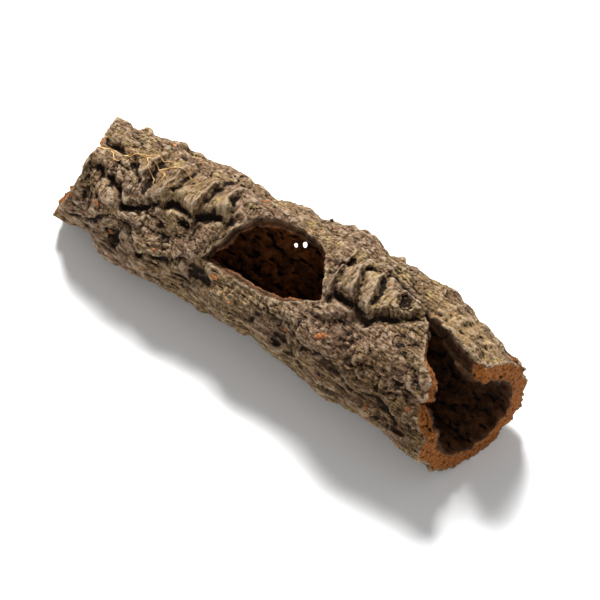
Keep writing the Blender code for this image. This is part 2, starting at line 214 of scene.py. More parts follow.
# Loose chips of orange cork on the bark: x, angle, length and turn.
CHIPS = (
    (61, 54, 6.5, -40), (-105, 60, 4.5, 60), (-96, 88, 5.0, 30), (-21, -18, 4.0, 75), (-54, -11, 3.5, 10),
    (-132, 58, 5.0, 40), (121, 62, 4.0, 80), (-59, 69, 4.0, 50), (74, -6, 3.0, 15), (-124, 66, 4.0, 100),
    (36, 72, 4.5, 120), (-18, 66, 5.0, 70), (98, 84, 4.0, 35), (-72, -28, 3.5, 140), (22, -30, 3.0, 60),
)
CHIP_WIDTH, CHIP_HEIGHT = 0.5, 0.3  # as shares of a chip's length
CHIP_ROUGHNESS, CHIP_GRAIN = 0.35, 4.0  # how uneven it is, and how finely
TWIG_PLACE, TWIG_RADIUS, TWIG_LENGTH = (9.5, -55), 1.1, 6.5  # the stub of a twig at the top
TWIG_SIDES = 14

# The bark is grooved along the grain about this angle, in full where the cosine of the angle from
# there is over the second number and not at all where it is under the first.
GROOVES_ANGLE, GROOVES_EDGE = 108, (0.75, 0.95)
WOVEN_PATCH = (126, -24, 46, 24)  # fine lines along and across: x, angle, half length and half width
DUSKY_PATCH = (100, 68, 70, 32)  # where the bark is darker and redder, in the same way
UPPER_SIDE_ANGLE, UPPER_SIDE_EDGE = -25, (0.5, 0.9)  # lichen grows here, in the way of the grooves
LIT_UP_TO = (55, 100)  # the painted light that brightens the hollow under the knot hole fades out between these x
SUNKEN_DEPTH = 6.0  # bark this far below its mean radius counts as sunken in full, for the painted shade in the hollows

# How hollow the bark is at each point, which the material turns into painted shade in the hollows
# and painted highlights on the crests: the name, the rounds of smoothing that it is measured
# against and the depth that counts in full.
HOLLOWS = (("fine_hollow", 3, 0.8), ("broad_hollow", 45, 3.5))

# Through the wall, as shares of the way in: where the outer bark ends and the hollow's wall begins.
BARK_ENDS, HOLLOW_BEGINS = (0.06, 0.2), (0.78, 0.96)

# The sawn faces are fresh cork: the mouth's beyond the first x and the left end's short of the
# second. The split's lower edge is old, this many degrees below its tip and short of this x.
FRESH_MOUTH, FRESH_LEFT = (101, 112), (-150, -90)
SPLIT_TIP_ANGLE, OLD_EDGE_BELOW, OLD_EDGE_BEFORE = 18, (8, 14), (134, 137)

# The fine relief of the outer bark: sizes along the grain and across it, then heights.
BEND_SIZE, BEND = 6.0, 1.6  # how the flakes and cracks are bent
BUSY_SIZE, BUSY_EDGE = (26, 16, 16), (-0.4, 0.7)  # where the bark is more broken
GROOVED_CALM = 0.9  # how much plainer the grooved bark is
FLAKE_SIZE, FLAKE_HEIGHT, FLAKE_BUSY = (9, 5, 5), 0.3, 1.5
SHRED_SIZE, SHRED_HEIGHT, SHRED_BUSY = (3.2, 2.2, 2.2), 0.35, 0.7
CRUMB_SIZE, CRUMB_HEIGHT, CRUMB_CALM = (1.9, 1.5, 1.5), 0.5, 0.7
LONG_CRACK_SIZE, LONG_CRACK_DEPTH = (24, 7, 7), 1.0
CROSS_CRACK_SIZE, CROSS_CRACK_DEPTH = (7, 15, 15), 0.8
CRACK_WIDTH, CRACK_CALM = 0.025, 0.8
THREAD_SIZE, THREAD_HEIGHT, THREAD_GROOVED, THREAD_WOVEN = (44, 3.2, 3.2), 0.5, 2.6, 1.4
RING_SIZE, RING_HEIGHT, RING_RINGED = (2.6, 26, 26), 0.25, 1.5
LINE_MEAN = 0.6  # the mean level of the threads and rings

# The fine relief of the hollow's wall and of the cut faces.
HOLLOW_FLAKE_SIZE, HOLLOW_FLAKE_HEIGHT = (10, 5, 5), 2.2
HOLLOW_CRUMB_SIZE, HOLLOW_CRUMB_HEIGHT = (4, 2.6, 2.6), 0.8
GRAIN_LUMP_SIZE, GRAIN_LUMP_HEIGHT = 3.4, 0.35
PORE_SIZE, PORE_DEPTH, PORE_WIDTH = 4.0, 0.9, 0.08

# The fine relief is this much lower in the worm holes and up to the first distance from them, and
# has its full height beyond the second.
WORM_CALM, WORM_CALM_NEAR, WORM_CALM_FAR = 0.75, 0.5, 3.0

ROWS_OUTSIDE, ROWS_INSIDE, ROWS_CUT, COLUMNS = 400, 200, 10, 330
CUTTER_INSIDE, CUTTER_OUTSIDE = 12.0, 70.0  # radii between which the openings' cutters reach
CUTTER_STEP = 1.5  # spacing of the points along an opening's edge
NICK_SIZE, NICK_X, NICK_ANGLE = 5.0, 1.2, 1.8  # the nicks in that edge: their size and their depth
DRILL_SIDES, DRILL_LENGTH, DRILL_SQUASH = 7, 30.0, (0.9, 1.2, 1.0)
GRAIN_SIZE = 0.85  # spacing of the even mesh that the fine relief is raised on
MOST_FACES = 196000  # the bark keeps at most this many triangles; an STL file is thinned past 200,000
SHARP_ANGLE = 24.0  # faces that meet at more than this are shaded with a crisp edge

# The camera: its bearing round the tube, its height over the level and its distance, with where
# the middle of the view falls on the tube.
CAMERA_BEARING, CAMERA_RISE, CAMERA_DISTANCE = 41.0, 50.0, 1000.0
FOCUS = np.array((16.0, 0.0, 40.0)) - ORIGIN
FOCUS_IN_IMAGE, FOCAL_PIXELS = (297.0, 293.5), 1790.0
IMAGE_SIZE, SENSOR = 600.0, 36.0
NEAREST_SEEN, FARTHEST_SEEN = 0.01, 20  # in metres

# The lamps: name, direction from the tube, distance and size in metres, and watts.
LAMPS = (
    ("large window", (-0.40, 0.42, 0.8), 1.6, 0.5, 65),
    ("front fill", (0.9, -1.0, 0.8), 1.8, 1.2, 8),
)
ROOM_LIGHT = 0.34
FLOOR_SIZE, FLOOR_COLOUR, FLOOR_ROUGHNESS = 8, (0.9, 0.9, 0.9, 1), 0.8  # its size in metres
CORK_SHINE = 0.15  # dry cork reflects little


def random_at(ix, iy, iz, seed):
    """A repeatable random number from -1 to 1 for each point of a whole-number lattice."""
    mixed = (ix * 73856093) ^ (iy * 19349663) ^ (iz * 83492791) ^ (seed * 971541713)
    mixed = (mixed ^ (mixed >> 13)) * 1274126177
    return ((mixed ^ (mixed >> 16)) & 0xFFFFFF) / 0x7FFFFF - 1


def soft_noise(points, seed):
    """Smooth noise from -1 to 1 with bumps about one unit across."""
    cell = np.floor(points).astype(np.int64)
    part = points - cell
    part = part * part * (3 - 2 * part)
    total = np.zeros(len(points))
    for corner in itertools.product((0, 1), repeat=3):
        weight = np.prod(np.where(corner, part, 1 - part), axis=1)
        total += weight * random_at(*(cell + corner).T, seed)
    return total


def rough_noise(points, seed, octaves):
    """Soft noise with finer and fainter layers of itself added."""
    return sum(soft_noise(points * 2.03**k, seed + k) * 0.5**k for k in range(octaves))


def shards(points, seed):
    """The height, about -1 to 1, of tilted flat blocks that overlap, each about one unit across."""
    cell = np.floor(points).astype(np.int64)
    top = np.full(len(points), -9.0)
    for offset in itertools.product((-1, 0, 1), repeat=3):
        near = cell + offset
        draws = [random_at(*near.T, seed + k) for k in range(7)]
        away = points - near - 0.5 - 0.45 * np.stack(draws[:3], 1)
        height = 0.5 * draws[6] + BLOCK_TILT * (away * np.stack(draws[3:6], 1)).sum(1)
        height -= BLOCK_STEEPNESS * np.maximum(np.linalg.norm(away, axis=1) - BLOCK_FLAT, 0)
        top = np.maximum(top, height)
    return top


def rise(value, low, high):
    """0 below low, 1 above high, and a smooth rise between them."""
    share = np.clip((value - low) / (high - low), 0, 1)
    return share * share * (3 - 2 * share)


def turn_between(angle, other):
    """The turn from other to angle, from -180 to 180 degrees."""
    return (angle - other + 180) % 360 - 180


def station(x, column):
    """A station value at x, read from a smooth curve through the stations."""
    xs, values = STATIONS[:, 0], STATIONS[:, column]
    slopes = np.gradient(values, xs)
    k = np.clip(np.searchsorted(xs, x) - 1, 0, len(xs) - 2)
    step = xs[k + 1] - xs[k]
    t = (x - xs[k]) / step
    start = (2 * t**3 - 3 * t**2 + 1) * values[k] + (t**3 - 2 * t**2 + t) * step * slopes[k]
    end = (3 * t**2 - 2 * t**3) * values[k + 1] + (t**3 - t**2) * step * slopes[k + 1]
    return start + end


def mean_radius(x, angle):
    """The branch's own radius, without the bark's relief."""
    return station(x, 3) + SIDE_SWELL * np.cos(2 * np.radians(angle - SIDE_SWELL_ANGLE)) / 2


def wall(x):
    """How thick the bark is."""
    return WALL + (MOUTH_WALL - WALL) * rise(x, MOUTH_START, MOUTH_END)


def place(x, angle, radius):
    """The point at x, this far from the middle line and at this angle round it."""
    turn = np.radians(angle)
    y = station(x, 1) - radius * np.sin(turn)
    return np.stack([x, y, station(x, 2) + radius * np.cos(turn)], axis=-1)


def find_place(points):
    """The x, angle and radius of points given in the branch's own millimetres."""
    x = points[:, 0]
    y, z = points[:, 1] - station(x, 1), points[:, 2] - station(x, 2)
    return x, np.degrees(np.arctan2(-y, z)), np.hypot(y, z)


def bark_points(x, angle):
    """Places on a plain cylinder, where the noise is read so that it closes round the tube."""
    turn = np.radians(angle)
    return np.stack([x, MEAN_RADIUS * np.sin(turn), MEAN_RADIUS * np.cos(turn)], axis=1)


def follow_line(x, angle, line):
    """Each point's distance from a line on the bark, its side (1 is above) and its share of the way."""
    nearest = np.full(len(x), 1e9)
    side, along_line = np.zeros(len(x)), np.zeros(len(x))
    for number, ((x0, a0), (x1, a1)) in enumerate(zip(line, line[1:])):
        run_x = x1 - x0
        run_a = np.radians(turn_between(a1, a0)) * MEAN_RADIUS
        dx = x - x0
        da = np.radians(turn_between(angle, a0)) * MEAN_RADIUS
        t = np.clip((dx * run_x + da * run_a) / (run_x**2 + run_a**2), 0, 1)
        distance = np.hypot(dx - t * run_x, da - t * run_a)
        closer = distance < nearest
        nearest = np.where(closer, distance, nearest)
        side = np.where(closer, np.sign(run_a * dx - run_x * da), side)
        along_line = np.where(closer, (number + t) / (len(line) - 1), along_line)
    return nearest, side, along_line


def patch(x, angle, at_x, at_angle, half_length, half_width):
    """1 in the middle of an oval patch of bark, and 0 outside it."""
    around = np.radians(turn_between(angle, at_angle)) * MEAN_RADIUS
    return 1 - rise(np.hypot((x - at_x) / half_length, around / half_width), 0.4, 1.0)


def share_in(patches, x, angle):
    """How far each place lies in any of these patches, as shares of what each patch counts."""
    share = np.zeros(len(x))
    for at_x, at_angle, half_length, half_width, amount in patches:
        share = np.maximum(share, amount * patch(x, angle, at_x, at_angle, half_length, half_width))
    return share


def outer_relief(x, angle):
    """How far the bark stands above its mean radius, or lies below it."""
    points = bark_points(x, angle)
    waver = rough_noise(points / WAVER_SIZE, SEED, 3)
    warp = np.stack([rough_noise(points / WARP_SIZE, SEED + 20 + k, 3) for k in range(3)], axis=1)
    scaled = points / (BLOCK_LENGTH, BLOCK_WIDTH, BLOCK_WIDTH)
    plain = BLOCK_HEIGHT * (shards(scaled + WARP_BLOCKS * warp, SEED + 30) - BLOCK_MEAN)
    stretched = points / (ROUGHNESS_LENGTH, ROUGHNESS_SIZE, ROUGHNESS_SIZE)
    plain += ROUGHNESS * soft_noise(stretched, SEED + 40)
    x, angle = x + WARP_X * warp[:, 0], angle + WARP_ANGLE * warp[:, 1]
    ribbed, height = np.zeros(len(x)), np.zeros(len(x))
    for at_x, at_angle, half_length, half_width, size, lean, crests in RIBS:
        here = patch(x, angle, at_x, at_angle, half_length, half_width)
        around = np.radians(turn_between(angle, at_angle)) * MEAN_RADIUS
        leaned = x + lean * around + RIB_WAVER * waver
        phase = np.interp(leaned, crests, np.arange(len(crests)) + RIB_CREST)
        step = phase - np.floor(phase)
        bulge = np.minimum(step / RIB_CREST, (1 - step) / (1 - RIB_CREST))
        height += size * (bulge - 0.5) * here
        ribbed = np.maximum(ribbed, here)
    height += plain * (1 - RIB_CALM * ribbed)
    for at_x, at_angle, half_length, half_width, size in PATCHES:
        height += size * patch(x, angle, at_x, at_angle, half_length, half_width)
    for width, depth, ledge, line in FURROWS:
        distance, side, share = follow_line(x, angle, line)
        inner_share = rise(share, 0, 0.15) * (1 - rise(share, 0.85, 1))
        height += ledge * inner_share * rise(distance * side, 0, 3) * (1 - rise(distance, 3, LEDGE_REACH))
        uneven = depth * np.clip(0.7 + 0.5 * waver, 0.15, 1.2)
        height -= uneven * (1 - rise(distance + 1.2 * waver, 0, 0.6 * width))
    rim = 1 - rise(follow_line(x, angle, KNOT_HOLE + KNOT_HOLE[:1])[0], 0, RIM_REACH)
    height = height * (1 - 0.7 * rim) - RIM_DROP * rim**2
    return np.where(height < 0, DEEPEST * np.tanh(height / DEEPEST), height)


def inner_relief(x, angle):
    """The hollow's own ridges, which run along the grain."""
    grain = bark_points(x, angle) / (INNER_LENGTH, INNER_WIDTH, INNER_WIDTH)
    return INNER_HEIGHT * rough_noise(grain, SEED + 60, 2)


def outer_radius(x, angle):
    return mean_radius(x, angle) + outer_relief(x, angle)


def inner_radius(x, angle):
    return mean_radius(x, angle) - wall(x) + inner_relief(x, angle)


def surface(run, side, angle):
    """The tube's surface: run is 0 at the left cut and 1 at the right, side is 0 outside and 1 inside."""
    radius = MEAN_RADIUS - side * WALL
    left = LEFT_CUT + LEFT_SLANT * radius * np.cos(np.radians(angle - LEFT_LEAN))
    left = left - LEFT_CORNERS * np.cos(np.radians(2 * (angle - CORNER_ANGLE)))
    right = RIGHT_CUT + RIGHT_SLANT * radius * np.cos(np.radians(angle - RIGHT_LEAN))
    x = left + run * (right - left)
    outside, inside = outer_radius(x, angle), inner_radius(x, angle)
    return place(x, angle, outside + side * (inside - outside))


def new_object(name, points, faces):
    """A mesh object from points in the branch's millimetres."""
    mesh = bpy.data.meshes.new(name)
    mesh.from_pydata(((np.asarray(points) - ORIGIN) * MM).tolist(), [], faces)
    mesh.update()
    made = bpy.data.objects.new(name, mesh)
    bpy.context.scene.collection.objects.link(made)
    return made


def select_only(thing):
    """Deselects all else, so that an operator acts on this object alone."""
    bpy.ops.object.select_all(action="DESELECT")
    thing.select_set(True)
    bpy.context.view_layer.objects.active = thing


def face_outward(thing):
    select_only(thing)
    bpy.ops.object.mode_set(mode="EDIT")
    bpy.ops.mesh.select_all(action="SELECT")
    bpy.ops.mesh.normals_make_consistent(inside=False)
    bpy.ops.object.mode_set(mode="OBJECT")


def make_blank():
    """The tube's closed skin on a fine grid.

    Its rows run along the bark, over the right cut, back through the hollow and over the left cut.
    """
    across = np.arange(1, ROWS_CUT + 1) / (ROWS_CUT + 1)
    outward, inward = np.linspace(0, 1, ROWS_OUTSIDE), np.linspace(1, 0, ROWS_INSIDE)
    run = np.concatenate([outward, np.ones(ROWS_CUT), inward, np.zeros(ROWS_CUT)])
    side = np.concatenate([0 * outward, across, 0 * inward + 1, across[::-1]])
    angles = np.arange(COLUMNS) * 360 / COLUMNS
    rows = len(run)
    points = surface(np.repeat(run, COLUMNS), np.repeat(side, COLUMNS), np.tile(angles, rows))
    here = np.arange(rows * COLUMNS).reshape(rows, COLUMNS)
    ahead, beside = np.roll(here, -1, axis=0), np.roll(here, -1, axis=1)
    corners = (here, ahead, np.roll(ahead, -1, axis=1), beside)
    faces = np.stack(corners, axis=-1).reshape(-1, 4)
    blank = new_object("bark_of_the_tube", points, faces.tolist())
    face_outward(blank)
    return blank


def make_radial_cutter(name, outline, taper=1.0):
    """A block that cuts through the wall, its sides following a ragged outline on the bark."""
    corners = np.array(outline + outline[:1], float)
    spans = np.hypot(np.diff(corners[:, 0]), np.radians(np.diff(corners[:, 1])) * MEAN_RADIUS)
    along = np.concatenate([[0], np.cumsum(spans)])
    at = np.linspace(0, along[-1], int(along[-1] / CUTTER_STEP), endpoint=False)
    xs, angles = np.interp(at, along, corners[:, 0]), np.interp(at, along, corners[:, 1])
    where = bark_points(xs, angles)
    xs = xs + NICK_X * rough_noise(where / NICK_SIZE, SEED + 80, 2)
    angles = angles + NICK_ANGLE * rough_noise(where / NICK_SIZE, SEED + 85, 2)
    middle_x, middle_angle = xs.mean(), angles.mean()
    count = len(xs)
    points = []
    for radius, share in ((CUTTER_INSIDE, taper), (CUTTER_OUTSIDE, 2 - taper)):
        ring_x = middle_x + (xs - middle_x) * share
        ring_angle = middle_angle + (angles - middle_angle) * share
        points += place(ring_x, ring_angle, radius).tolist()
        points.append(place(middle_x, middle_angle, radius).tolist())
    faces = []
    for k in range(count):
        after, above = (k + 1) % count, count + 1
        faces.append((k, after, above + after, above + k))
        faces.append((after, k, count))
        faces.append((above + k, above + after, above + count))
    cutter = new_object(name, points, faces)
    face_outward(cutter)
    return cutter


def make_worm_drill(number, x, angle, width):
    """A round drill that slants through the back of the wall."""
    bpy.ops.object.select_all(action="DESELECT")
    bpy.ops.mesh.primitive_cylinder_add(
        vertices=DRILL_SIDES,
        radius=width / 2 * MM,
        depth=DRILL_LENGTH * MM,
        location=(place(x, angle, mean_radius(x, angle) - WALL / 2) - ORIGIN) * MM,
        rotation=Vector(WORM_SLANT).to_track_quat("Z", "Y").to_euler(),
    )
    drill = bpy.context.object
    drill.name = f"worm_drill_{number}"
    drill.scale = DRILL_SQUASH
    return drill


def cut_away(thing, tool):
    """Cuts the tool's shape out of a piece, and removes the tool."""
    boolean = thing.modifiers.new(tool.name, "BOOLEAN")
    boolean.operation = "DIFFERENCE"
    boolean.solver = "MANIFOLD"
    boolean.object = tool
    select_only(thing)
    bpy.ops.object.modifier_apply(modifier=boolean.name)
    bpy.data.objects.remove(tool)


def even_mesh(thing, size):
    """Covers the shape with an even skin of small faces, this far apart."""
    remesh = thing.modifiers.new("even skin", "REMESH")
    remesh.mode = "VOXEL"
    remesh.voxel_size = size * MM
    select_only(thing)
    bpy.ops.object.modifier_apply(modifier=remesh.name)


def read_points(thing):
    """A mesh's points in the branch's millimetres."""
    flat = np.empty(len(thing.data.vertices) * 3)
    thing.data.vertices.foreach_get("co", flat)
    return flat.reshape(-1, 3) / MM + ORIGIN


def write_points(thing, points):
    thing.data.vertices.foreach_set("co", ((points - ORIGIN) * MM).ravel())
    thing.data.update()


def read_normals(thing):
    flat = np.empty(len(thing.data.vertices) * 3)
    thing.data.vertex_normals.foreach_get("vector", flat)
    return flat.reshape(-1, 3)


def smoothed(thing, values, rounds):
    """Values on a mesh's points after each has been evened out with its neighbours this many times."""
    pairs = np.empty(len(thing.data.edges) * 2, np.int64)
    thing.data.edges.foreach_get("vertices", pairs)
    first, second = pairs.reshape(-1, 2).T
    count = len(thing.data.vertices)
    neighbours = np.bincount(first, minlength=count) + np.bincount(second, minlength=count)
    for _ in range(rounds):
        total = [
            np.bincount(first, column[second], count) + np.bincount(second, column[first], count)
            for column in values.T
        ]
        values = np.stack(total, axis=1) / neighbours[:, None]
    return values


def zones(x, angle, radius):
    """How far each point belongs to the outer bark, the hollow's wall and a cut or broken edge."""
    outside = outer_radius(x, angle)
    share = (outside - radius) / (outside - inner_radius(x, angle))
    hollow = rise(share, *HOLLOW_BEGINS)
    bark = 1 - rise(share, *BARK_ENDS)
    return bark, hollow, np.clip(1 - hollow - bark, 0, 1)


def ridged(points, seed, octaves):
    """Noise with sharp crests, from 0 to 1."""
    return sum((1 - np.abs(soft_noise(points * 2.1**k, seed + k))) * 0.5**k for k in range(octaves)) / 2


def crack(points, seed, width):
    """1 along thin winding lines and 0 away from them."""
    wave = soft_noise(points, seed) + 0.5 * soft_noise(points * 2.3, seed + 1)
    return np.exp(-((wave / width) ** 2))


def groove_share(angle):
    """How far the bark is grooved along the grain at this angle."""
    return rise(np.cos(np.radians(angle - GROOVES_ANGLE)), *GROOVES_EDGE)


def bark_crust(x, angle, here):
    """The outer bark's fine relief: broken flakes, cracks along and across, and threads along the grain."""
    bend = np.stack([soft_noise(here / BEND_SIZE, SEED + 100 + k) for k in range(3)], axis=1)
    bent = here + BEND * bend
    grooved, ringed = groove_share(angle), share_in(RINGED_PATCHES, x, angle)
    calm = np.maximum(share_in(CALM_PATCHES, x, angle), GROOVED_CALM * grooved)
    busy = rise(soft_noise(here / BUSY_SIZE, SEED + 108), *BUSY_EDGE) * (1 - calm)
    flakes = shards(bent / FLAKE_SIZE, SEED + 110) - BLOCK_MEAN
    shreds = shards(bent / SHRED_SIZE, SEED + 120) - BLOCK_MEAN
    crumbs = shards(bent / CRUMB_SIZE, SEED + 170) - BLOCK_MEAN
    long_cracks = crack(bent / LONG_CRACK_SIZE, SEED + 130, CRACK_WIDTH)
    cross_cracks = crack(bent / CROSS_CRACK_SIZE, SEED + 135, CRACK_WIDTH)
    crust = (FLAKE_HEIGHT + FLAKE_BUSY * busy) * flakes
    crust += (SHRED_HEIGHT + SHRED_BUSY * busy) * shreds
    crust -= LONG_CRACK_DEPTH * long_cracks * (1 - CRACK_CALM * calm)
    crust -= CROSS_CRACK_DEPTH * cross_cracks * (1 - CRACK_CALM * calm)
    crust += CRUMB_HEIGHT * crumbs * (1 - CRUMB_CALM * calm)
    along = (THREAD_HEIGHT + THREAD_GROOVED * grooved) * (1 - ringed)
    along = along + THREAD_WOVEN * patch(x, angle, *WOVEN_PATCH)
    threads = along * (ridged(here / THREAD_SIZE, SEED + 137, 2) - LINE_MEAN)
    rings = RING_HEIGHT + RING_RINGED * ringed
    rings = rings * (ridged(bent / RING_SIZE, SEED + 138, 2) - LINE_MEAN)
    return crust + threads + rings


def hollow_crust(here):
    """The hollow's crumbling wall, ridged along the grain."""
    flakes = HOLLOW_FLAKE_HEIGHT * shards(here / HOLLOW_FLAKE_SIZE, SEED + 150)
    return flakes + HOLLOW_CRUMB_HEIGHT * shards(here / HOLLOW_CRUMB_SIZE, SEED + 160)


def cork_grain(here):
    """The grain and pores of a cut or broken face."""
    lumps = GRAIN_LUMP_HEIGHT * shards(here / GRAIN_LUMP_SIZE, SEED + 140)
    return lumps - PORE_DEPTH * crack(here / PORE_SIZE, SEED + 145, PORE_WIDTH)


def near_worm_holes(points):
    """1 in and close round the worm holes, where the fine relief is faint, and 0 away from them."""
    axis = np.array(WORM_SLANT) / np.linalg.norm(WORM_SLANT)
    near = np.zeros(len(points))
    for x, angle, width in WORM_HOLES:
        middle = place(x, angle, mean_radius(x, angle) - WALL / 2)
        distance = np.linalg.norm(np.cross(points - middle, axis), axis=1)
        inner, outer = width / 2 + WORM_CALM_NEAR, width / 2 + WORM_CALM_FAR
        near = np.maximum(near, 1 - rise(distance, inner, outer))
    return near


def raise_detail(thing):
    """Pushes the bark's crusts, cracks and crumbs out of the even skin."""
    points, normals = read_points(thing), read_normals(thing)
    x, angle, radius = find_place(points)
    bark, hollow, broken = zones(x, angle, radius)
    height = bark * bark_crust(x, angle, points) + hollow * hollow_crust(points)
    height += broken * cork_grain(points)
    height *= 1 - WORM_CALM * near_worm_holes(points)
    write_points(thing, points + normals * height[:, None])


def press_on_floor(thing):
    """Lifts what lies below the floor up to it, so that the tube rests on flats."""
    points = read_points(thing)
    points[:, 2] = np.maximum(points[:, 2], 0)
    write_points(thing, points)


def thin_out(thing, most):
    """Leaves at most this many triangles, the larger ones where the skin is plain."""
    triangles = sum(len(face.vertices) - 2 for face in thing.data.polygons)
    decimate = thing.modifiers.new("fewer faces", "DECIMATE")
    decimate.ratio = min(1.0, most / triangles)
    decimate.use_collapse_triangulate = True
    select_only(thing)
    bpy.ops.object.modifier_apply(modifier=decimate.name)


def store(thing, name, values):
    """Keeps a number at each point of a mesh, for its material."""
    attribute = thing.data.attributes.new(name, "FLOAT", "POINT")
    attribute.data.foreach_set("value", np.asarray(values, dtype=np.float32))


def measure_skin(thing):
    """Stores what the material needs to know at each point of the bark."""
    points, normals = read_points(thing), read_normals(thing)
    x, angle, radius = find_place(points)
    bark, hollow, broken = zones(x, angle, radius)
    # how hollow or raised the bark is, which the material turns into painted shade and highlights
    for name, rounds, scale in HOLLOWS:
        depth = ((smoothed(thing, points, rounds) - points) * normals).sum(1)
        store(thing, name, np.clip(depth / scale, -1, 1))
    store(thing, "sunken", np.clip((mean_radius(x, angle) - radius) / SUNKEN_DEPTH, -1, 1) * bark)
    store(thing, "hollow_wall", hollow)
    store(thing, "ringed", share_in(RINGED_PATCHES, x, angle) * bark)
    store(thing, "grooved", np.maximum(groove_share(angle), patch(x, angle, *WOVEN_PATCH)))
    store(thing, "under_the_edge", np.clip((outer_radius(x, angle) - radius) / wall(x), 0, 1))
    store(thing, "upper_side", rise(np.cos(np.radians(angle - UPPER_SIDE_ANGLE)), *UPPER_SIDE_EDGE))
    # painted light: where the hollow is brightened under the knot hole
    store(thing, "knot_hole_painted_light", 1 - rise(x, *LIT_UP_TO))
    store(thing, "dusky", patch(x, angle, *DUSKY_PATCH))
    old_edge = rise(-turn_between(angle, SPLIT_TIP_ANGLE), *OLD_EDGE_BELOW)
    mouth = rise(x, *FRESH_MOUTH) * (1 - old_edge * (1 - rise(x, *OLD_EDGE_BEFORE)))
    sawn = np.maximum(mouth, 1 - rise(x, *FRESH_LEFT))
    store(thing, "fresh_cork", broken * sawn)
    store(thing, "broken_edge", broken * (1 - sawn))


def make_bark():
    """The tube in full detail: its skin, its openings, its fine relief and its material."""
    bark = make_blank()
    cut_away(bark, make_radial_cutter("knot_hole_cutter", KNOT_HOLE, HOLE_TAPER))
    cut_away(bark, make_radial_cutter("split_cutter", SPLIT))
    for number, (x, angle, width) in enumerate(WORM_HOLES, start=1):
        cut_away(bark, make_worm_drill(number, x, angle, width))
    even_mesh(bark, GRAIN_SIZE)
    raise_detail(bark)
    press_on_floor(bark)
    thin_out(bark, MOST_FACES)
    press_on_floor(bark)
    measure_skin(bark)
    select_only(bark)
    bpy.ops.object.shade_smooth_by_angle(angle=np.radians(SHARP_ANGLE))
    bark.data.materials.clear()
    bark.data.materials.append(bark_paint())
    return bark


def land(bark, x, angle):
    """Where a line from outside towards the middle line first meets the bark, and the way the bark faces."""
    start = Vector((place(x, angle, CUTTER_OUTSIDE) - ORIGIN) * MM)
    aim = Vector((place(x, angle, 0.0) - ORIGIN) * MM) - start
    _, where, facing, _ = bark.ray_cast(start, aim.normalized())
    return where, facing


def finish_piece(thing, name, paint):
    """Gives a piece that lies on the bark its name, its material and its place in the part."""
    thing.name = name
    thing.data.materials.clear()
    thing.data.materials.append(paint)
    select_only(thing)
    bpy.ops.object.transform_apply(location=True, rotation=True, scale=True)
    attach(thing, "root")


def grow_rootlet(bark, number, route, paint):
    """A thin round thread that lies on the bark and wanders a little."""
    corners = np.array(route, float)
    along = np.concatenate([[0], np.cumsum(np.hypot(*np.diff(corners, axis=0).T))])
    at = np.arange(0, along[-1], ROOTLET_STEP)
    xs, angles = np.interp(at, along, corners[:, 0]), np.interp(at, along, corners[:, 1])
    where = bark_points(xs, angles)
    xs = xs + WANDER_X * rough_noise(where / WANDER_SPAN, SEED + 200 + number, 2)
    angles = angles + WANDER_ANGLE * rough_noise(where / WANDER_SPAN, SEED + 220 + number, 2)
    landed = [land(bark, x, angle) for x, angle in zip(xs, angles)]
    curve = bpy.data.curves.new("rootlet", "CURVE")
    curve.dimensions = "3D"
    curve.bevel_depth, curve.bevel_resolution, curve.resolution_u = ROOTLET_RADIUS * MM, 1, 2
    curve.use_fill_caps = True
    line = curve.splines.new("NURBS")
    line.points.add(len(landed) - 1)
    line.use_endpoint_u, line.order_u = True, 3
    for count, (point, (spot, facing)) in enumerate(zip(line.points, landed)):
        point.co = (*(spot + facing * ROOTLET_RADIUS * ROOTLET_LIFT * MM), 1)
        point.radius = ROOTLET_START - ROOTLET_TAPER * count / len(landed)
    thread = bpy.data.objects.new("rootlet", curve)
    bpy.context.scene.collection.objects.link(thread)
    select_only(thread)
    bpy.ops.object.convert(target="MESH")
    finish_piece(bpy.context.object, f"rootlet_{number}", paint)


def lay_chip(bark, number, x, angle, length, turn, paint):
    """A small broken chip of cork, pressed on the bark."""
    spot, facing = land(bark, x, angle)
    bpy.ops.object.select_all(action="DESELECT")
    bpy.ops.mesh.primitive_ico_sphere_add(subdivisions=3, radius=0.5, location=spot)
    chip = bpy.context.object
    points = np.array([vertex.co for vertex in chip.data.vertices])
    points *= 1 + CHIP_ROUGHNESS * rough_noise(points * CHIP_GRAIN + number, SEED + 240, 2)[:, None]
    chip.data.vertices.foreach_set("co", points.ravel())
    chip.scale = np.array((length, CHIP_WIDTH * length, CHIP_HEIGHT * length)) * MM
    tilt = facing.to_track_quat("Z", "X").to_matrix() @ Matrix.Rotation(np.radians(turn), 3, "Z")
    chip.rotation_euler = tilt.to_euler()
    finish_piece(chip, f"cork_chip_{number}", paint)


def grow_twig(bark, paint):
    """The dark broken stub of a side twig."""
    spot, facing = land(bark, *TWIG_PLACE)
    bpy.ops.object.select_all(action="DESELECT")
    bpy.ops.mesh.primitive_cylinder_add(
        vertices=TWIG_SIDES, radius=TWIG_RADIUS * MM, depth=TWIG_LENGTH * MM, location=spot
    )
    twig = bpy.context.object
    twig.rotation_euler = facing.to_track_quat("Z", "Y").to_euler()
    finish_piece(twig, "twig_stub", paint)


def dress_bark(bark):
    """Lays the rootlets, the chips and the twig's stub on the bark."""
    dry, cork, dark = rootlet_paint(), chip_paint(), twig_paint()
    for number, route in enumerate(ROOTLETS, start=1):
        grow_rootlet(bark, number, route, dry)
    for number, (x, angle, length, turn) in enumerate(CHIPS, start=1):
        lay_chip(bark, number, x, angle, length, turn, cork)
    grow_twig(bark, dark)


